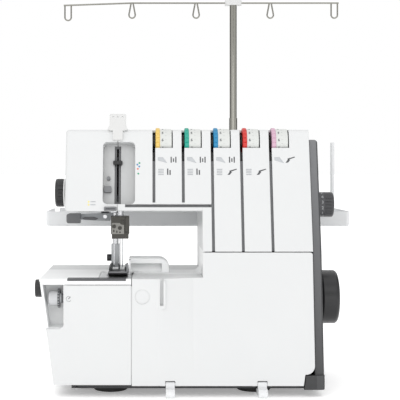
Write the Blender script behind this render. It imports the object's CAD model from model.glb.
import math

import bmesh
import bpy
from mathutils import Matrix, Vector


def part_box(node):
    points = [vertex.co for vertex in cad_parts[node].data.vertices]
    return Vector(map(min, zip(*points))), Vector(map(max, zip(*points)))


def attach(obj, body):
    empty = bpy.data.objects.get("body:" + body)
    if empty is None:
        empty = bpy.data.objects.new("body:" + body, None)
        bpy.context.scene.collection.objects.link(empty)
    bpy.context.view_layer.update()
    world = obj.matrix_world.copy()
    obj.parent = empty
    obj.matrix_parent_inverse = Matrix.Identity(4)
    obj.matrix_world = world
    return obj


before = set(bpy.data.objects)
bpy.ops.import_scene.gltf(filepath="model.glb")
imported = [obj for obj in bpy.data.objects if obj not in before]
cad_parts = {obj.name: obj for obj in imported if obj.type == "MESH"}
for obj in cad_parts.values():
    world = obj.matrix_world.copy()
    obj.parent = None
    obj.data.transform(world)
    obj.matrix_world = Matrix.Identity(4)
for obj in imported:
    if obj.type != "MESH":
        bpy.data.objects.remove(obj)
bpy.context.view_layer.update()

# Dark fittings: base plate, power inlet and switch, pulleys and the foot release knob.
# Charcoal ABS, moulded with a coarse matt grain that hides scratches and keeps highlights dull.
MM = 0.001
EDGE_MM, FLOW_MM = 0.8, 60
PLASTIC_IOR = 1.5
NOISE_LOW, NOISE_HIGH = 0.3, 0.7


def linear(hex_colour):
    """Linear RGBA of an sRGB hex colour."""
    parts = [int(hex_colour[i:i + 2], 16) / 255 for i in (1, 3, 5)]
    return (*[c / 12.92 if c <= 0.04045 else ((c + 0.055) / 1.055) ** 2.4 for c in parts], 1.0)


def add(material, kind, values=None, links=None, **settings):
    """Adds one node: settings are its properties, values its sockets, links the wires into it."""
    tree = material.node_tree
    made = tree.nodes.new(kind)
    for name, value in settings.items():
        setattr(made, name, value)
    for socket, value in (values or {}).items():
        made.inputs[socket].default_value = value
    for socket, output in (links or {}).items():
        tree.links.new(output, made.inputs[socket])
    return made


def new_material(name):
    """Empty material with its shader and its coordinates in millimetres."""
    material = bpy.data.materials.new(name)
    material.use_nodes = True
    shader = material.node_tree.nodes["Principled BSDF"]
    place = add(material, "ShaderNodeTexCoord")
    to_mm = add(material, "ShaderNodeVectorMath", {1: (1000, 1000, 1000)},
                {0: place.outputs["Object"]}, operation="MULTIPLY")
    return material, shader, to_mm.outputs[0]


def moulded(name, colour, rough, cloud, cloud_mix, grain_mm=0.9, grain_depth=0.02):
    """Moulded plastic: eroded tool grain as bump, softened edges, and an uneven tone and gloss
    from the melt's flow. Real grain is about 0.2 mm and is drawn coarser so that it shows."""
    material, shader, at = new_material(name)
    link = material.node_tree.links.new
    flow = add(material, "ShaderNodeTexNoise", {"Scale": 1 / FLOW_MM, "Detail": 3.0}, {"Vector": at})
    amount = add(material, "ShaderNodeMath", {1: cloud_mix}, {0: flow.outputs["Fac"]}, operation="MULTIPLY")
    tint = add(material, "ShaderNodeMix", {6: linear(colour), 7: linear(cloud)}, {0: amount.outputs[0]},
               data_type="RGBA")
    link(tint.outputs[2], shader.inputs["Base Color"])
    gloss = add(material, "ShaderNodeMapRange",
                {1: NOISE_LOW, 2: NOISE_HIGH, 3: rough - 0.04, 4: rough + 0.05}, {0: flow.outputs["Fac"]})
    link(gloss.outputs[0], shader.inputs["Roughness"])
    grain = add(material, "ShaderNodeTexNoise", {"Scale": 1 / grain_mm, "Detail": 2.0}, {"Vector": at})
    edge = add(material, "ShaderNodeBevel", {"Radius": EDGE_MM * MM}, samples=4)
    bump = add(material, "ShaderNodeBump", {"Strength": 0.25, "Distance": grain_depth * MM},
               {"Height": grain.outputs["Fac"], "Normal": edge.outputs[0]})
    link(bump.outputs[0], shader.inputs["Normal"])
    shader.inputs["IOR"].default_value = PLASTIC_IOR
    return material


def dress(material, *nodes):
    """Gives CAD nodes a finish."""
    for name in nodes:
        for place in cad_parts[name].material_slots:
            place.material = material


charcoal_abs = moulded("charcoal_abs_matt", "#2B2B2D", 0.5, "#3A3A3D", 0.3, 1.2, 0.05)
dress(charcoal_abs, "base_plate", "power_inlet", "power_switch", "foot_release", "shaft_pulley",
      "motor_pulley")

# Feet and drive belt: turned pads under the base plate, and the flat loop from motor to shaft.
# Black nitrile rubber, moulded, dull and faintly dusty, so it takes almost no highlight.
nitrile = moulded("black_nitrile_rubber", "#1B1B1B", 0.75, "#3A3836", 0.35, 1.6, 0.08)
dress(nitrile, "rubber_feet", "drive_belt")

# Inner works: frame, shaft bushes, motor can and the bay plate behind the front cover.
# Die-cast aluminium with a rough skin, sintered bronze and two enamels; the bushes are pressed into the
# frame's bearing walls, and the motor is bolted to one of them.
X, Y, Z = 0, 1, 2
LINE_STRETCH = 0.04


def ground_metal(name, colour, rough, line_mm, along, wear=0.12):
    """Ground metal: lines drawn out along one axis change gloss and height.
    Real lines are under 0.1 mm apart and are drawn wider so that they show."""
    material, shader, at = new_material(name)
    link = material.node_tree.links.new
    stretch = [LINE_STRETCH if axis == along else 1.0 for axis in (X, Y, Z)]
    drawn = add(material, "ShaderNodeVectorMath", {1: stretch}, {0: at}, operation="MULTIPLY")
    lines = add(material, "ShaderNodeTexNoise", {"Scale": 1 / line_mm, "Detail": 3.0},
                {"Vector": drawn.outputs[0]})
    gloss = add(material, "ShaderNodeMapRange",
                {1: NOISE_LOW, 2: NOISE_HIGH, 3: max(rough - wear / 2, 0.03), 4: rough + wear},
                {0: lines.outputs["Fac"]})
    link(gloss.outputs[0], shader.inputs["Roughness"])
    bump = add(material, "ShaderNodeBump", {"Strength": 0.15, "Distance": 0.02 * MM},
               {"Height": lines.outputs["Fac"]})
    link(bump.outputs[0], shader.inputs["Normal"])
    shader.inputs["Base Color"].default_value = linear(colour)
    shader.inputs["Metallic"].default_value = 1.0
    return material


dress(ground_metal("die_cast_aluminium", "#85878A", 0.6, 2.5, Z, 0.2), "main_frame")
dress(ground_metal("sintered_bronze", "#B08A52", 0.4, 0.8, X), "shaft_bushes")
dress(moulded("motor_can_enamel", "#34363A", 0.3, "#44474C", 0.3, 3.0, 0.03), "motor")
dress(moulded("looper_bay_enamel", "#DADCDD", 0.35, "#CDD0D2", 0.3, 2.0, 0.03), "bay_plate")

# Steel works: bars, needles, plate, knives, feed, loopers, shafts, presser parts and thread hooks.
# Ground and polished tool steel, with fine grinding lines that stretch the highlights.
dress(ground_metal("ground_bar_steel", "#C9CACC", 0.22, 0.5, Z), "needle_bar", "needles", "presser_bar")
dress(ground_metal("ground_plate_steel", "#D2D3D4", 0.3, 0.6, X), "needle_plate", "feed_dogs",
      "lower_knife", "upper_knife", "hinge_pins", "looper_pins", "main_shaft")
dress(ground_metal("polished_looper_steel", "#D8D8D8", 0.16, 0.5, Z), "lower_looper", "upper_looper",
      "chain_looper")
dress(ground_metal("satin_hook_steel", "#7C7D7F", 0.42, 0.5, Z), "thread_hooks")
dress(ground_metal("satin_shank_steel", "#A6A8AA", 0.36, 0.6, Z), "presser_shank")
dress(ground_metal("browned_foot_steel", "#77787A", 0.38, 0.7, Y, 0.2), "presser_foot")

# Needle clamp and tension discs: blackened steel, which gives soft grey highlights.
# A stamped plate is held under the clamp's needle screws and cut out round them and the thread eyes.
PLATE_OUTLINE = [(-116.9, 196.2), (-101.2, 196.2), (-101.2, 207.8), (-105.4, 208.6), (-106.4, 210.4),
                 (-116.9, 210.4)]
PLATE_HOLES = ((-106.5, 204.0, 2.6, 2.6), (-114.0, 206.0, 2.6, 2.6), (-114.4, 200.2, 1.1, 1.8),
               (-110.4, 199.0, 1.0, 1.8), (-106.4, 198.4, 1.2, 1.1))
PLATE_MM, CLAMP_FRONT_Y = 0.7, -87.0
MERGE_MM = 0.001


def place_mesh(name, data, material, body, slot):
    """Links a finished mesh as a piece that rides on a body."""
    piece = bpy.data.objects.new(name, data)
    bpy.context.scene.collection.objects.link(piece)
    data.materials.clear()
    data.materials.append(material)
    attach(piece, body)
    return piece


def finish_piece(name, mesh, material, body, slot):
    """Turns a bmesh into a piece that rides on a body."""
    bmesh.ops.recalc_face_normals(mesh, faces=mesh.faces)
    data = bpy.data.meshes.new(name)
    mesh.to_mesh(data)
    mesh.free()
    return place_mesh(name, data, material, body, slot)


def flat_mesh(name, curve):
    """Mesh of a flat curve or text, before it gets its place."""
    holder = bpy.data.objects.new(name, curve)
    bpy.context.scene.collection.objects.link(holder)
    flat = bpy.data.meshes.new_from_object(holder.evaluated_get(bpy.context.evaluated_depsgraph_get()))
    bpy.data.objects.remove(holder)
    return flat


def oval(x, z, half_x, half_z, sides=20):
    """Oval outline."""
    turn = 2 * math.pi / sides
    return [(x + half_x * math.cos(k * turn), z + half_z * math.sin(k * turn)) for k in range(sides)]


def stamped(name, loops, thick_mm, front_y):
    """Plate with cut-outs, standing on a front face: the first loop is its outline, in mm."""
    curve = bpy.data.curves.new(name, "CURVE")
    curve.dimensions = "2D"
    curve.fill_mode = "BOTH"
    curve.extrude = thick_mm / 2
    for loop in loops:
        spline = curve.splines.new("POLY")
        spline.points.add(len(loop) - 1)
        for point, (x, z) in zip(spline.points, loop):
            point.co = (x, z, 0, 1)
        spline.use_cyclic_u = True
    flat = flat_mesh(name, curve)
    plate = bmesh.new()
    plate.from_mesh(flat)
    bpy.data.meshes.remove(flat)
    for vert in plate.verts:
        x, z, lift = vert.co
        vert.co = (x * MM, (front_y - thick_mm / 2 - lift) * MM, z * MM)
    bmesh.ops.remove_doubles(plate, verts=plate.verts, dist=MERGE_MM * MM)
    return plate


dress(ground_metal("blackened_clamp_steel", "#4B4A47", 0.34, 0.7, Z, 0.15), "needle_clamp", "tension_discs")
bright_plate = ground_metal("bright_stamped_steel", "#84837F", 0.38, 0.6, Z, 0.1)
clamp_loops = [PLATE_OUTLINE] + [oval(*hole) for hole in PLATE_HOLES]
finish_piece("clamp_plate", stamped("clamp_plate", clamp_loops, PLATE_MM, CLAMP_FRONT_Y), bright_plate,
             "needle_group", "steel")

# Take-up: a slotted guide behind the recess in the head, with the carrier that rides in it.
# Glass-filled nylon, grey for the guide and black for the carrier, with a low sheen.
lever_nylon = moulded("grey_nylon_lever", "#5F6062", 0.45, "#505153", 0.25, 1.1, 0.04)
dress(lever_nylon, "take_up_guide")
dress(moulded("black_nylon_carrier", "#141415", 0.4, "#222224", 0.2, 1.0, 0.03), "take_up_lever")

# Presser lifter lever: dark finger tab on a paler arm, on a steel pin under the left of the head.
# The same nylon in two tones; a darker rib on the arm is left dull where no finger reaches.
LEVER_LEFT_X, LEVER_ARM_X, LEVER_FRONT_Y = -190.0, -160.0, -49.0
RIB_OUTLINE = [(-157.2, 214.2), (-154, 212.6), (-140, 212.2), (-136.2, 214.4), (-141, 216.4), (-154, 216.6)]
RIB_MM = 0.6
BAND_GRAIN_MM = 0.8


def banded(name, axis, bands, rough, fade=None):
    """Part made of differently coloured stretches along one axis: bands are (start in mm, colour).
    A fade (full height, low height, share left) darkens it downwards."""
    material, shader, at = new_material(name)
    link = material.node_tree.links.new
    parts = add(material, "ShaderNodeSeparateXYZ", links={0: at})
    first, last = bands[0][0], bands[-1][0] + 1.0
    spread = add(material, "ShaderNodeMapRange", {1: first, 2: last, 3: 0.0, 4: 1.0},
                 {0: parts.outputs[axis]})
    ramp = add(material, "ShaderNodeValToRGB", links={0: spread.outputs[0]})
    ramp.color_ramp.interpolation = "CONSTANT"
    stops = ramp.color_ramp.elements
    while len(stops) < len(bands):
        stops.new(1.0)
    for stop, (start, colour) in zip(stops, bands):
        stop.position = (start - first) / (last - first)
        stop.color = linear(colour)
    paint = ramp.outputs[0]
    if fade:
        full_z, low_z, share = fade
        deep = add(material, "ShaderNodeMapRange", {1: low_z, 2: full_z, 3: share, 4: 1.0},
                   {0: parts.outputs[Z]})
        darker = add(material, "ShaderNodeVectorMath", links={0: paint, 1: deep.outputs[0]},
                     operation="MULTIPLY")
        paint = darker.outputs[0]
    link(paint, shader.inputs["Base Color"])
    grain = add(material, "ShaderNodeTexNoise", {"Scale": 1 / BAND_GRAIN_MM, "Detail": 2.0}, {"Vector": at})
    gloss = add(material, "ShaderNodeMapRange",
                {1: NOISE_LOW, 2: NOISE_HIGH, 3: rough - 0.05, 4: rough + 0.06}, {0: grain.outputs["Fac"]})
    link(gloss.outputs[0], shader.inputs["Roughness"])
    bump = add(material, "ShaderNodeBump", {"Strength": 0.2, "Distance": 0.02 * MM},
               {"Height": grain.outputs["Fac"]})
    link(bump.outputs[0], shader.inputs["Normal"])
    return material


lever_bands = ((LEVER_LEFT_X, "#5F6062"), (LEVER_ARM_X, "#9DA0A3"))
dress(banded("grey_nylon_lever_two_tone", X, lever_bands, 0.45), "lifter_lever")
finish_piece("lever_rib", stamped("lever_rib", [RIB_OUTLINE], RIB_MM, LEVER_FRONT_Y), lever_nylon,
             "lifter", "dark_plastic")

# Covers: rear cover, looper door, front cover, bed and the guard hood right of the foot.
# White ABS, injection-moulded in a finely eroded tool, so satin; bed and hood are brighter mouldings.
# Rear cover, bed and hood are fixed; door and front cover swing on pins at their lower edges.
WHITE, WHITE_FLOW, WHITE_ROUGH, WHITE_FLOW_MIX = "#D4D5D5", "#C9CBCD", 0.36, 0.25
white_abs = moulded("white_abs_moulded", WHITE, WHITE_ROUGH, WHITE_FLOW, WHITE_FLOW_MIX)
dress(white_abs, "rear_cover", "looper_door", "front_cover")
dress(moulded("bright_white_abs_moulded", "#EEEFEF", 0.34, "#E4E5E6", 0.2), "bed_cover")
dress(moulded("natural_white_abs_moulded", "#F6F7F7", 0.32, "#ECEDEE", 0.2), "fabric_guard")

# Head and tension panel: the leaning front of the arm, with a hollow where the take-up carrier runs.
# The same white ABS; masked lacquer greys the hollow, full at the bottom and fading out at the rim.
PANEL_LEAN = math.radians(14.7)
RECESS_MID, RECESS_HALF = (-107.0, 275.5), (21.0, 41.0)
RECESS_FULL_MM, RECESS_RIM_MM, RECESS_TONE = 9.0, 0.8, 0.76
panel_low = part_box("tension_panel")[0]
panel_up = Vector((0, math.sin(PANEL_LEAN), math.cos(PANEL_LEAN)))
panel_out = Vector((0, -math.cos(PANEL_LEAN), math.sin(PANEL_LEAN)))
face_plane = panel_low.dot(panel_out)

head_abs = moulded("white_abs_with_lacquered_recess", WHITE, WHITE_ROUGH, WHITE_FLOW, WHITE_FLOW_MIX)
head_shader = head_abs.node_tree.nodes["Principled BSDF"]
head_tint = head_shader.inputs["Base Color"].links[0].from_socket
head_at = add(head_abs, "ShaderNodeTexCoord").outputs["Object"]
head_axes = add(head_abs, "ShaderNodeSeparateXYZ", links={0: head_at})
depth = add(head_abs, "ShaderNodeVectorMath", {1: panel_out}, {0: head_at}, operation="DOT_PRODUCT")
shade = add(head_abs, "ShaderNodeMapRange",
            {1: face_plane - RECESS_FULL_MM * MM, 2: face_plane - RECESS_RIM_MM * MM, 3: RECESS_TONE, 4: 1.0},
            {0: depth.outputs["Value"]})
across, upward = (
    add(head_abs, "ShaderNodeMath", {1: mid * MM, 2: half * MM}, {0: head_axes.outputs[axis]},
        operation="COMPARE")
    for axis, mid, half in zip((X, Z), RECESS_MID, RECESS_HALF))
inside = add(head_abs, "ShaderNodeMath", links={0: across.outputs[0], 1: upward.outputs[0]},
             operation="MULTIPLY")
tone = add(head_abs, "ShaderNodeMix", {2: 1.0}, {0: inside.outputs[0], 3: shade.outputs[0]},
           data_type="FLOAT")
toned = add(head_abs, "ShaderNodeVectorMath", links={0: head_tint, 1: tone.outputs[0]},
            operation="MULTIPLY")
head_abs.node_tree.links.new(toned.outputs[0], head_shader.inputs["Base Color"])
dress(head_abs, "face_cover", "tension_panel")

# Seam lip: thin edge along the left side of the front cover that closes the gap to the looper door.
# Moulded in one with the cover, in the same white ABS, and set back a little from the face.
LIP_X, LIP_Z, LIP_MM, LIP_BACK_Y = (-90.35, -89.85), (16.0, 136.0), 1.2, -156.5


def bar(x0, x1, z0, z1):
    """Upright rectangle."""
    return [(x0, z0), (x1, z0), (x1, z1), (x0, z1)]


finish_piece("seam_lip", stamped("seam_lip", [bar(*LIP_X, *LIP_Z)], LIP_MM, LIP_BACK_Y), white_abs,
             "cover", "white_plastic")

# Slot liners: strips behind the thread slots and the lip groove, where the thread slides.
# Nylon channel clipped behind the panel; black beside the tension discs, mid-grey further down.
LINER_DEEP, LINER_MM, LINER_WIDE = 4.2, 1.0, 7.0
SLOT_FIRST, SLOT_PITCH, SLOT_COUNT = -62.5, 37.3, 5
ARM_SLOT_LOW, COLUMN_SLOT_LOW, SLOT_BLACK_Z, SLOT_TOP_Z = 237.6, 178.5, 291.5, 303.0
ARM_SLOTS = 2
LIP_GROOVE_X, LIP_GROOVE_Z, LIP_GROOVE_GAP = -100.0, (231.0, 236.6), 0.5
slots = [SLOT_FIRST + SLOT_PITCH * i for i in range(SLOT_COUNT)]


def on_panel(x, z, lift):
    """Point on the leaning panel, from its front-view place in mm."""
    along = (z * MM - panel_low.z) / math.cos(PANEL_LEAN)
    return Vector((x * MM, panel_low.y, panel_low.z)) + panel_up * along + panel_out * (lift * MM)


def prism(mesh, outline, place, low_mm, high_mm):
    """Adds one closed prism: an outline in mm between two heights over a surface."""
    low = [mesh.verts.new(place(x, y, low_mm)) for x, y in outline]
    high = [mesh.verts.new(place(x, y, high_mm)) for x, y in outline]
    mesh.faces.new(high)
    mesh.faces.new(low[::-1])
    for i in range(len(outline)):
        j = (i + 1) % len(outline)
        mesh.faces.new((low[i], low[j], high[j], high[i]))


def liner(mesh, x0, x1, z0, z1):
    """Flat strip behind the panel."""
    prism(mesh, bar(x0, x1, z0, z1), on_panel, -LINER_DEEP - LINER_MM, -LINER_DEEP)


slot_grey = moulded("grey_nylon_channel", "#77787A", 0.45, "#696A6C", 0.25, 1.0, 0.03)
slot_black = moulded("black_nylon_channel", "#0E0E0F", 0.5, "#1A1A1B", 0.2, 1.0, 0.03)
grey_strips, black_strips, lip_strip = bmesh.new(), bmesh.new(), bmesh.new()
for i, slot_x in enumerate(slots):
    sides = slot_x - LINER_WIDE / 2, slot_x + LINER_WIDE / 2
    liner(grey_strips, *sides, ARM_SLOT_LOW if i < ARM_SLOTS else COLUMN_SLOT_LOW, SLOT_BLACK_Z)
    liner(black_strips, *sides, SLOT_BLACK_Z, SLOT_TOP_Z)
liner(lip_strip, LIP_GROOVE_X, slots[ARM_SLOTS] - LINER_WIDE / 2 - LIP_GROOVE_GAP, *LIP_GROOVE_Z)
finish_piece("slot_liners", grey_strips, slot_grey, "machine", "dark_plastic")
finish_piece("slot_wells", black_strips, slot_black, "machine", "dark_plastic")
finish_piece("lip_liner", lip_strip, slot_grey, "machine", "dark_plastic")

# Seam guide: dark strip folded over the front edge of the bed, before the foot.
# Grey polyester film, a quarter of a millimetre thick, glued down along the edge.
GUIDE_X, GUIDE_BACK_Y, GUIDE_LOW_Z = (-169.5, -97.2), -140.5, 142.6
GUIDE_MM, BED_EDGE_MM, BED_EDGE_STEPS = 0.25, 2.0, 6
bed_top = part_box("needle_plate")[1].z / MM
bed_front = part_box("bed_cover")[0].y / MM


def over_edge(lift):
    """Line over the bed's rounded front edge, in mm from the front and the floor."""
    line = [(GUIDE_BACK_Y, bed_top + lift)]
    for k in range(BED_EDGE_STEPS + 1):
        angle = math.pi / 2 * (1 + k / BED_EDGE_STEPS)
        line.append((bed_front + BED_EDGE_MM + (BED_EDGE_MM + lift) * math.cos(angle),
                     bed_top - BED_EDGE_MM + (BED_EDGE_MM + lift) * math.sin(angle)))
    return line + [(bed_front - lift, GUIDE_LOW_Z)]


guide_film = moulded("grey_polyester_film", "#515254", 0.5, "#636467", 0.25, 0.8, 0.02)
film = bmesh.new()
section = over_edge(0.0) + over_edge(GUIDE_MM)[::-1]
ends = [[film.verts.new((x * MM, y * MM, z * MM)) for y, z in section] for x in GUIDE_X]
for k in range(len(section)):
    following = (k + 1) % len(section)
    film.faces.new((ends[0][k], ends[0][following], ends[1][following], ends[1][k]))
for end in ends:
    for k in range(len(section) // 2 - 1):
        film.faces.new((end[k], end[k + 1], end[-k - 2], end[-k - 1]))
finish_piece("seam_guide", film, guide_film, "machine", "dark_plastic")

# Sewing lamp: clear lens over the lamp, set flush in the underside of the head.
# Polycarbonate, moulded with fine ribs that spread the light and break up what is behind.
LENS_RIB_SCALE, LENS_RIB_DEEP_MM = 0.35, 0.3
lens, lens_shader, lens_at = new_material("clear_polycarbonate_lens")
ribs = add(lens, "ShaderNodeTexWave", {"Scale": LENS_RIB_SCALE, "Distortion": 0.0}, {"Vector": lens_at},
           bands_direction="X")
rib_bump = add(lens, "ShaderNodeBump", {"Strength": 0.3, "Distance": LENS_RIB_DEEP_MM * MM},
               {"Height": ribs.outputs["Fac"]})
lens.node_tree.links.new(rib_bump.outputs[0], lens_shader.inputs["Normal"])
for socket, value in (("Base Color", linear("#F4F3EC")), ("Transmission Weight", 0.8), ("Roughness", 0.25),
                      ("IOR", 1.58)):
    lens_shader.inputs[socket].default_value = value
dress(lens, "lamp_lens")

# End cap: the right side of the machine, with inlet, switch and stitch length dial set in it.
# Grey ABS; its front edge and its flank were textured differently, and it darkens towards the table.
side_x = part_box("side_panel")[1].x / MM
CAP_BANDS = ((side_x - 30, "#5A5B5D"), (side_x - 10.5, "#747577"), (side_x - 2.2, "#434446"))
CAP_FADE = (330, 14, 0.28)
dress(banded("grey_abs_end_cap", X, CAP_BANDS, 0.48, CAP_FADE), "side_panel")

# Handwheel and knobs: pressure, stitch length and cutting width dials, and the knob on the bed's side.
# ABS with moulded grips, mostly dark and glossy; the width dial is pale with dark rings, and the
# pressure dial has one pale ring.
head_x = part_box("pressure_dial")[0].x / MM + 16
PRESSURE_BANDS = ((head_x - 17, "#1B1B1D"), (head_x - 4.9, "#DADADA"), (head_x - 3.3, "#262628"))
STITCH_BANDS = ((side_x - 12, "#4A4A4D"), (side_x + 12, "#3B3B3E"))
WIDTH_BANDS = ((-194, "#CBCCCE"), (-182.1, "#4B4C4F"), (-179.4, "#CFD1D3"), (-177.6, "#5B5C5F"))
dress(moulded("charcoal_abs_glossy", "#1A1A1C", 0.3, "#242427", 0.3, 1.2, 0.02), "handwheel")
dress(moulded("black_abs_satin", "#1E1E20", 0.34, "#2C2C2F", 0.3, 1.0, 0.03), "side_knob")
dress(banded("pressure_dial_abs", X, PRESSURE_BANDS, 0.32), "pressure_dial")
dress(banded("stitch_dial_abs", X, STITCH_BANDS, 0.3), "stitch_dial")
dress(banded("width_dial_abs", X, WIDTH_BANDS, 0.34), "width_knob")

# Tension dials: five drums in the windows of the panel, each turning on its stud.
# Two-shot ABS: a white drum for the numbers and a coloured rim that tells the threads apart.
RIM_MM, DRUM_WHITE = 5.6, "#CDCFCC"
DIAL_COLOURS = ("#DDBC66", "#1F9C88", "#2080AE", "#C4302A", "#C9A5B8")
DIAL_BODIES = ("dial_a", "dial_b", "dial_c", "dial_d", "dial_e")
dials = [f"tension_dial_{number}" for number in range(1, 6)]
dial_lefts = [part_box(dial)[0].x / MM for dial in dials]
for dial, left, colour in zip(dials, dial_lefts, DIAL_COLOURS):
    dress(banded(f"{dial}_two_shot_abs", X, ((left - 1, colour), (left + RIM_MM, DRUM_WHITE)), 0.35), dial)

# Panel prints: in each bay a piece of cloth with needle strokes, and under it a stitch ladder.
# Pad-printed ink, a film too thin to feel, drawn a little thicker so that it stands clear of the plastic.
INK_MM = 0.12
ROW_HIGH, ROW_LOW = 292.5, 277.0
CLOTH = [(5, -1), (17, -4.5), (11.5, 3), (5, 3)]
LOOPER_FOOT = [(19, -4), (22, -4), (25, -0.5), (22.5, 0.5)]
LOOPER_ARM = [(22, -0.5), (31, 2.6), (31, 3.8), (21.5, 1.2)]
STROKE_PITCH, STROKE_LOW = 3.0, -4.0
HIGH_STROKE_X, HIGH_STROKE_TOP, HIGH_STROKES = (21.3, 22.8), 3.5, 3
LOW_STROKE_X, LOW_STROKE_TOP, LOW_STROKES = (16.8, 18.4), 4.0, 2
SHORT_LOW, SHORT_TOP = 1.0, 2.0
RUNG_X, RUNG_Z, RUNG_PITCH, RUNGS = (5.5, 12.5), (-4.2, -3.1), 2.2, 4
CLOTH_BAYS, HIGH_STROKE_BAYS, LADDER_BAYS, LOW_STROKE_BAYS = (0, 1, 2, 4), 3, 4, 2


def ink(name, colour):
    """Pad-printed ink with a slightly broken edge in its gloss."""
    return moulded(name, colour, 0.45, "#FFFFFF", 0.05, 0.5, 0.01)


def solid_print(mesh, outline, place):
    """Adds one printed shape, lifted by the ink's thickness."""
    prism(mesh, outline, place, 0.0, INK_MM)


def shifted(outline, x, z):
    """Outline moved to a place on the panel."""
    return [(x + along, z + up) for along, up in outline]


grey_ink = ink("grey_ink", "#A9ACAF")
dark_ink = ink("dark_ink", "#3F4144")
cloth_shapes, strokes, ladders = bmesh.new(), bmesh.new(), bmesh.new()
for bay, slot_x in enumerate(slots):
    if bay in CLOTH_BAYS:
        solid_print(cloth_shapes, shifted(CLOTH, slot_x, ROW_HIGH), on_panel)
    for k in range(HIGH_STROKES if bay < HIGH_STROKE_BAYS else 0):
        left, right = (x + STROKE_PITCH * k for x in HIGH_STROKE_X)
        short = k % 2
        stroke = bar(left, right, STROKE_LOW + SHORT_LOW * short, HIGH_STROKE_TOP - SHORT_TOP * short)
        solid_print(strokes, shifted(stroke, slot_x, ROW_HIGH), on_panel)
    for k in range(RUNGS if bay < LADDER_BAYS else 0):
        low, high = (z + RUNG_PITCH * k for z in RUNG_Z)
        solid_print(ladders, shifted(bar(*RUNG_X, low, high), slot_x, ROW_LOW), on_panel)
    for k in range(LOW_STROKES if bay < LOW_STROKE_BAYS else 0):
        left, right = (x + STROKE_PITCH * k for x in LOW_STROKE_X)
        stroke = bar(left, right, STROKE_LOW, LOW_STROKE_TOP - SHORT_TOP * k)
        solid_print(strokes, shifted(stroke, slot_x, ROW_LOW), on_panel)
for bay, row in ((2, ROW_LOW), (3, ROW_LOW), (4, ROW_HIGH)):
    for outline in (LOOPER_FOOT, LOOPER_ARM):
        solid_print(strokes, shifted(outline, slots[bay], row), on_panel)
finish_piece("cloth_marks", cloth_shapes, ink("cloth_ink", "#B2B5B8"), "machine", "pale_grey_plastic")
finish_piece("stroke_marks", strokes, dark_ink, "machine", "dark_plastic")
finish_piece("ladder_marks", ladders, grey_ink, "machine", "pale_grey_plastic")

# Colour dots: the thread route's key beside the recess and at the foot of the head.
# The same pad printing in four inks, with two grey lines that lead from the yellow dots.
DOT_MM, DOT_SIDES = 1.2, 16
KEY_X, KEY_ROWS, KEY_HALF = (-142.8, -136.4), (239.0, 235.2), 0.5
for name, colour, slot, marks in (
    ("yellow_mark", "#EFE08C", "dial_yellow", [(-145.2, z) for z in KEY_ROWS]),
    ("green_mark", "#2C9C72", "dial_green", [(-82.4, 274.5), (-81.0, 288.0)]),
    ("red_mark", "#D9796A", "dial_red", [(-83.0, 280.6)]),
    ("blue_mark", "#4A86B4", "dial_blue", [(-83.6, 286.0), (-81.2, 283.6)]),
):
    spots = bmesh.new()
    for x, z in marks:
        solid_print(spots, oval(x, z, DOT_MM, DOT_MM, DOT_SIDES), on_panel)
    finish_piece(name, spots, ink(f"{name}_ink", colour), "machine", slot)
keys = bmesh.new()
for z in KEY_ROWS:
    solid_print(keys, bar(*KEY_X, z - KEY_HALF, z + KEY_HALF), on_panel)
finish_piece("colour_key_lines", keys, grey_ink, "machine", "pale_grey_plastic")

# Dial numerals: printed round the tension drums and the stitch length dial, read from the front.
# The same ink, rolled on while the drum turns, grey on white and pale on the dark dial.
DRUM_MM, STITCH_MM = 17.6, 16.5
BOLD_SHARE = 0.035
TENSION_IN, TENSION_SIZE, TENSION_START, TENSION_STEP = 3.4, 4.8, -92, 34
STITCH_IN, STITCH_SIZE, STITCH_START, STITCH_STEP = 9.4, 5.4, -40, 26


def drum_place(centre, radius, x_mid, turn):
    """Maps a flat mark to a drum along X, at a turn from the front towards the top."""
    out = Vector((0, -math.cos(turn), math.sin(turn)))
    up = Vector((0, math.sin(turn), math.cos(turn)))
    middle = Vector((x_mid, centre.y, centre.z))

    def place(x, y, lift):
        return middle + Vector((x, 0, 0)) * MM + up * (y * MM) + out * (radius + lift * MM)

    return place


def numeral(text, size_mm):
    """Flat mesh of one numeral, centred, in mm."""
    curve = bpy.data.curves.new("numeral", "FONT")
    curve.body = text
    curve.size = size_mm
    curve.align_x = "CENTER"
    curve.align_y = "CENTER"
    curve.resolution_u = 2
    curve.extrude = INK_MM / 2
    curve.offset = size_mm * BOLD_SHARE
    return flat_mesh("numeral", curve)


def print_numerals(name, labels, node, radius_mm, x_mm, size_mm, start, step, material, body, slot):
    """Prints labels round a drum from a starting angle, one every step degrees."""
    low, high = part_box(node)
    printed = bmesh.new()
    for k, label in enumerate(labels):
        flat = numeral(label, size_mm)
        place = drum_place((low + high) / 2, radius_mm * MM, x_mm * MM, math.radians(start + step * k))
        for vert in flat.vertices:
            vert.co = place(vert.co.x, vert.co.y, vert.co.z + INK_MM / 2)
        printed.from_mesh(flat)
        bpy.data.meshes.remove(flat)
    bmesh.ops.remove_doubles(printed, verts=printed.verts, dist=MERGE_MM * MM)
    finish_piece(name, printed, material, body, slot)


numeral_ink = ink("numeral_ink", "#66696C")
pale_ink = ink("pale_ink", "#AEB0B2")
for number, (dial, left, body) in enumerate(zip(dials, dial_lefts, DIAL_BODIES), 1):
    print_numerals(f"tension_numerals_{number}", "9876543210", dial, DRUM_MM, left + RIM_MM + TENSION_IN,
                   TENSION_SIZE, TENSION_START, TENSION_STEP, numeral_ink, body, "dark_plastic")
print_numerals("stitch_numerals", "1234F", "stitch_dial", STITCH_MM, side_x + STITCH_IN, STITCH_SIZE,
               STITCH_START, STITCH_STEP, pale_ink, "stitch_knob", "pale_grey_plastic")


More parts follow.
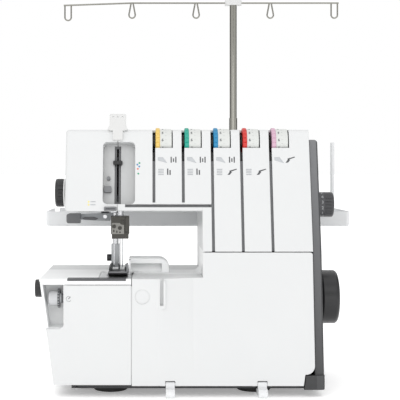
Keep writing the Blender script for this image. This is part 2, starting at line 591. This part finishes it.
# Tick rings: fine lines printed round the tension, cutting width and stitch length drums.
# The same ink; one tree makes every ring from its radius, its count and the size of a tick.
def tick_ring_tree():
    """Geometry Nodes: a ring of short bars round the X axis, realised, with one ink."""
    tree = bpy.data.node_groups.new("tick_ring", "GeometryNodeTree")
    face = tree.interface
    face.new_socket("Geometry", in_out="OUTPUT", socket_type="NodeSocketGeometry")
    for label, kind in (("Radius", "NodeSocketFloat"), ("Count", "NodeSocketInt"),
                        ("Tick", "NodeSocketVector"), ("Ink", "NodeSocketMaterial")):
        face.new_socket(label, in_out="INPUT", socket_type=kind)
    nodes, link = tree.nodes, tree.links.new
    given, result = nodes.new("NodeGroupInput"), nodes.new("NodeGroupOutput")
    ring = nodes.new("GeometryNodeMeshCircle")
    upright = nodes.new("GeometryNodeTransform")
    upright.inputs["Rotation"].default_value = (0, math.pi / 2, 0)
    tick = nodes.new("GeometryNodeMeshCube")
    spread = nodes.new("GeometryNodeInstanceOnPoints")
    aim = nodes.new("FunctionNodeAlignEulerToVector")
    aim.axis = "Z"
    where = nodes.new("GeometryNodeInputPosition")
    realise = nodes.new("GeometryNodeRealizeInstances")
    paint = nodes.new("GeometryNodeSetMaterial")
    link(given.outputs["Radius"], ring.inputs["Radius"])
    link(given.outputs["Count"], ring.inputs["Vertices"])
    link(ring.outputs[0], upright.inputs["Geometry"])
    link(given.outputs["Tick"], tick.inputs["Size"])
    link(where.outputs[0], aim.inputs["Vector"])
    link(upright.outputs[0], spread.inputs["Points"])
    link(tick.outputs[0], spread.inputs["Instance"])
    link(aim.outputs[0], spread.inputs["Rotation"])
    link(spread.outputs[0], realise.inputs[0])
    link(realise.outputs[0], paint.inputs["Geometry"])
    link(given.outputs["Ink"], paint.inputs["Material"])
    link(paint.outputs[0], result.inputs[0])
    return tree


def grow(name, tree, settings, base=None):
    """Runs a tree on a mesh, empty unless one is given, and returns the result as a plain mesh."""
    holder = bpy.data.objects.new(name, base or bpy.data.meshes.new(name))
    bpy.context.scene.collection.objects.link(holder)
    modifier = holder.modifiers.new(name, "NODES")
    modifier.node_group = tree
    for socket in tree.interface.items_tree:
        if socket.in_out == "INPUT" and socket.name in settings:
            modifier[socket.identifier] = settings[socket.name]
    data = bpy.data.meshes.new_from_object(holder.evaluated_get(bpy.context.evaluated_depsgraph_get()))
    holder.modifiers.remove(modifier)
    bpy.data.objects.remove(holder)
    return data


tick_ring = tick_ring_tree()
TENSION_TICK_IN, WIDTH_TICK_X, STITCH_TICK_IN, WIDTH_RING_MM = 7.6, -180.8, 2.6, 12.0
rings = [(f"tension_ticks_{number}", dial, body, "dark_plastic", DRUM_MM,
          left + RIM_MM + TENSION_TICK_IN, 21, (1.2, 0.35), grey_ink)
         for number, (dial, left, body) in enumerate(zip(dials, dial_lefts, DIAL_BODIES), 1)]
rings += [
    ("width_ticks", "width_knob", "width_setting", "pale_grey_plastic", WIDTH_RING_MM, WIDTH_TICK_X, 20,
     (2.2, 0.9), pale_ink),
    ("stitch_ticks", "stitch_dial", "stitch_knob", "pale_grey_plastic", STITCH_MM, side_x + STITCH_TICK_IN,
     28, (1.8, 0.6), pale_ink),
]
for name, node, body, slot, radius, x_mm, count, (long_mm, wide_mm), material in rings:
    low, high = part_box(node)
    data = grow(name, tick_ring, {"Radius": radius * MM, "Count": count, "Ink": material,
                                  "Tick": (long_mm * MM, wide_mm * MM, 2 * INK_MM * MM)})
    data.transform(Matrix.Translation((x_mm * MM, (low.y + high.y) / 2, (low.z + high.z) / 2)))
    place_mesh(name, data, material, body, slot)

# Looper door icon: a small dial with a pointer, printed beside the cutting-width recess.
# Dark pad-printed ink on the door's flat front, so it swings with the door.
ICON_X, ICON_Z, ICON_R, ICON_TICK, ICON_HALF = -167.5, 120.7, 3.6, 0.8, 0.35
ICON_TICKS, ICON_START, ICON_STEP = 10, 60, 28
POINTER = [(-0.4, -0.4), (2.2, 1.8), (1.4, 2.4), (-0.6, 0.4)]
door_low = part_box("looper_door")[0]


def on_door(x, z, lift):
    """Point on the door's flat front, from its front-view place in mm."""
    return Vector((x * MM, door_low.y - lift * MM, z * MM))


icon = bmesh.new()
for k in range(ICON_TICKS):
    angle = math.radians(ICON_START + ICON_STEP * k)
    around = Vector((math.cos(angle), math.sin(angle)))
    side = Vector((-around.y, around.x)) * ICON_HALF
    inner, outer = around * (ICON_R - ICON_TICK), around * ICON_R
    tick = [inner - side, outer - side, outer + side, inner + side]
    solid_print(icon, shifted(tick, ICON_X, ICON_Z), on_door)
solid_print(icon, shifted(POINTER, ICON_X, ICON_Z), on_door)
finish_piece("width_icon", icon, dark_ink, "door", "dark_plastic")

# Pale stand parts: spool tray and pins, the legs that carry the front cover, mast cap and top guide.
# Polypropylene, softer and a little waxy, clipped or screwed on; cap and guide are a warmer white.
dress(moulded("pale_grey_polypropylene", "#DDDEDF", 0.42, "#D1D4D6", 0.2, 1.0, 0.03),
      "spool_tray", "hinge_legs", "spool_pins")
dress(moulded("warm_white_polypropylene", "#CFCFCE", 0.4, "#C4C5C6", 0.2, 1.0, 0.03),
      "top_thread_guide", "mast_cap")

# Mast and guide bar: telescoping tubes in the tray's socket, and the wire bar with its five eyelets.
# Drawn steel, nickel-plated, so it mirrors the room with dark edges.
dress(ground_metal("nickel_plated_tube", "#96958E", 0.14, 2.0, Z, 0.03), "mast_lower_tube", "mast_upper_tube")
dress(ground_metal("nickel_plated_wire", "#8E8D86", 0.2, 0.8, X, 0.06), "thread_guide_bar")

# Cover screws: pan-head machine screws that hold the back cover and the end cap.
# Zinc-plated steel with a cross recess; one tree places every head along its face's direction.
BACK_SCREWS = ((-150, 300), (118, 300), (-150, 60), (118, 60), (-40, 60), (30, 250))
END_SCREWS = ((24, 296), (24, 130), (-100, 40), (-76, 290))
HEAD_MM, HEAD_TALL_MM, RECESS_MM = 3.3, 1.7, (3.8, 0.9, 1.6)
HEAD_SIDES, SHOULDER_SHARE = 28, 0.72


def screw_tree():
    """Geometry Nodes: a turned head with a cross recess, put on each point along its normal."""
    tree = bpy.data.node_groups.new("cover_screw", "GeometryNodeTree")
    face = tree.interface
    face.new_socket("Geometry", in_out="INPUT", socket_type="NodeSocketGeometry")
    face.new_socket("Geometry", in_out="OUTPUT", socket_type="NodeSocketGeometry")
    for label, kind in (("Head Radius", "NodeSocketFloat"), ("Head Height", "NodeSocketFloat"),
                        ("Recess", "NodeSocketVector"), ("Finish", "NodeSocketMaterial")):
        face.new_socket(label, in_out="INPUT", socket_type=kind)
    nodes, link = tree.nodes, tree.links.new
    given, result = nodes.new("NodeGroupInput"), nodes.new("NodeGroupOutput")
    head = nodes.new("GeometryNodeMeshCone")
    head.inputs["Vertices"].default_value = HEAD_SIDES
    shoulder = nodes.new("ShaderNodeMath")
    shoulder.operation = "MULTIPLY"
    shoulder.inputs[1].default_value = SHOULDER_SHARE
    link(given.outputs["Head Radius"], head.inputs["Radius Bottom"])
    link(given.outputs["Head Radius"], shoulder.inputs[0])
    link(shoulder.outputs[0], head.inputs["Radius Top"])
    link(given.outputs["Head Height"], head.inputs["Depth"])
    slit = nodes.new("GeometryNodeMeshCube")
    link(given.outputs["Recess"], slit.inputs["Size"])
    lift = nodes.new("GeometryNodeTransform")
    reach = nodes.new("ShaderNodeCombineXYZ")
    link(given.outputs["Head Height"], reach.inputs["Z"])
    link(slit.outputs[0], lift.inputs["Geometry"])
    link(reach.outputs[0], lift.inputs["Translation"])
    cross = nodes.new("GeometryNodeTransform")
    cross.inputs["Rotation"].default_value = (0, 0, math.pi / 2)
    link(lift.outputs[0], cross.inputs["Geometry"])
    cut = nodes.new("GeometryNodeMeshBoolean")
    cut.operation = "DIFFERENCE"
    link(head.outputs["Mesh"], cut.inputs["Mesh 1"])
    link(lift.outputs[0], cut.inputs["Mesh 2"])
    link(cross.outputs[0], cut.inputs["Mesh 2"])
    normal = nodes.new("GeometryNodeInputNamedAttribute")
    normal.data_type = "FLOAT_VECTOR"
    normal.inputs["Name"].default_value = "out"
    aim = nodes.new("FunctionNodeAlignEulerToVector")
    aim.axis = "Z"
    link(normal.outputs[0], aim.inputs["Vector"])
    spread = nodes.new("GeometryNodeInstanceOnPoints")
    link(given.outputs["Geometry"], spread.inputs["Points"])
    link(cut.outputs[0], spread.inputs["Instance"])
    link(aim.outputs[0], spread.inputs["Rotation"])
    realise = nodes.new("GeometryNodeRealizeInstances")
    paint = nodes.new("GeometryNodeSetMaterial")
    link(spread.outputs[0], realise.inputs[0])
    link(realise.outputs[0], paint.inputs["Geometry"])
    link(given.outputs["Finish"], paint.inputs["Material"])
    link(paint.outputs[0], result.inputs[0])
    return tree


zinc = ground_metal("zinc_plated_screw", "#B4B6B8", 0.3, 0.6, X)
back_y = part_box("rear_cover")[1].y
screw_spots = [((x * MM, back_y, z * MM), (0, 1, 0)) for x, z in BACK_SCREWS]
screw_spots += [((side_x * MM, y * MM, z * MM), (1, 0, 0)) for y, z in END_SCREWS]
points = bpy.data.meshes.new("screw_points")
points.from_pydata([place for place, _ in screw_spots], [], [])
outward = points.attributes.new("out", "FLOAT_VECTOR", "POINT")
outward.data.foreach_set("vector", [part for _, out in screw_spots for part in out])
screw_sizes = {"Head Radius": HEAD_MM * MM, "Head Height": HEAD_TALL_MM * MM,
               "Recess": tuple(size * MM for size in RECESS_MM), "Finish": zinc}
place_mesh("cover_screws", grow("cover_screws", screw_tree(), screw_sizes, points), zinc, "machine", "steel")

# Stage: a pale floor in an evenly white room, as in a catalogue picture.
# The painted floor glows a little, so that it meets the room without a line.
FLOOR_HALF, FLOOR_GAP, FLOOR_GLOW = 30.0, 0.0005, 0.3
floor_mesh = bpy.data.meshes.new("floor")
corners = [(-1, -1), (1, -1), (1, 1), (-1, 1)]
floor_mesh.from_pydata([(x * FLOOR_HALF, y * FLOOR_HALF, 0) for x, y in corners], [], [(0, 1, 2, 3)])
floor = bpy.data.objects.new("floor", floor_mesh)
floor.location.z = -FLOOR_GAP
bpy.context.scene.collection.objects.link(floor)
floor_paint = bpy.data.materials.new("floor_paint")
floor_paint.use_nodes = True
floor_shader = floor_paint.node_tree.nodes["Principled BSDF"]
for socket, value in (("Base Color", linear("#FAFAFA")), ("Roughness", 0.8),
                      ("Emission Color", (1, 1, 1, 1)), ("Emission Strength", FLOOR_GLOW)):
    floor_shader.inputs[socket].default_value = value
floor_mesh.materials.append(floor_paint)

world = bpy.data.worlds.new("soft_room")
bpy.context.scene.world = world
world.use_nodes = True
room = world.node_tree.nodes["Background"]
room.inputs["Color"].default_value = (1, 1, 1, 1)
room.inputs["Strength"].default_value = 1.0


# Lights: a raised soft box before the machine, a low one that reaches under the arm, and one overhead.
# Dark felt cards, at the sides and behind the camera, show only in reflections: the mast's dark edges.
def soft_box(name, place, target, size, watts):
    """Large area light aimed at a point."""
    light = bpy.data.lights.new(name, "AREA")
    light.shape = "RECTANGLE"
    light.size, light.size_y = size
    light.energy = watts
    lamp = bpy.data.objects.new(name, light)
    lamp.location = place
    lamp.rotation_euler = (Vector(target) - Vector(place)).to_track_quat("-Z", "Y").to_euler()
    bpy.context.scene.collection.objects.link(lamp)


soft_box("key_light", (-0.35, -2.0, 1.75), (-0.03, -0.05, 0.2), (2.2, 1.2), 8)
soft_box("front_fill", (-0.2, -2.6, 0.3), (-0.05, 0, 0.2), (2.0, 0.8), 5)
soft_box("top_light", (-0.1, -0.4, 2.3), (0, -0.1, 0.2), (1.8, 1.6), 4)

CARD_LOW, CARD_HIGH = 0.05, 1.3
card_felt = bpy.data.materials.new("flag_felt")
card_felt.use_nodes = True
card_shader = card_felt.node_tree.nodes["Principled BSDF"]
card_shader.inputs["Base Color"].default_value = linear("#1A1A1A")
card_shader.inputs["Roughness"].default_value = 1.0
for name, (x0, y0), (x1, y1) in (
    ("left_flag", (-1.15, 0.15), (-1.15, 1.05)),
    ("right_flag", (1.15, 0.15), (1.15, 1.05)),
    ("back_flag", (-0.3, -2.7), (0.1, -2.7)),
):
    card_mesh = bpy.data.meshes.new(name)
    card_corners = [(x0, y0, CARD_LOW), (x1, y1, CARD_LOW), (x1, y1, CARD_HIGH), (x0, y0, CARD_HIGH)]
    card_mesh.from_pydata(card_corners, [], [(0, 1, 2, 3)])
    card_mesh.materials.append(card_felt)
    card = bpy.data.objects.new(name, card_mesh)
    card.visible_camera = False
    card.visible_diffuse = False
    card.visible_shadow = False
    bpy.context.scene.collection.objects.link(card)

# Camera: level and square to the front of the machine, as in the photograph.
# The lens is shifted sideways and down instead of turned, so that uprights stay upright.
camera_data = bpy.data.cameras.new("photo_camera")
camera_data.lens, camera_data.sensor_width = 99.6, 36.0
camera_data.shift_x, camera_data.shift_y = 0.125, -0.0875
camera_data.clip_end = 100
camera = bpy.data.objects.new("photo_camera", camera_data)
camera.location = (-0.0675, -1.52, 0.2855)
camera.rotation_euler = (math.pi / 2, 0, 0)
bpy.context.scene.collection.objects.link(camera)
bpy.context.scene.camera = camera
bpy.context.scene.view_settings.view_transform = "Standard"
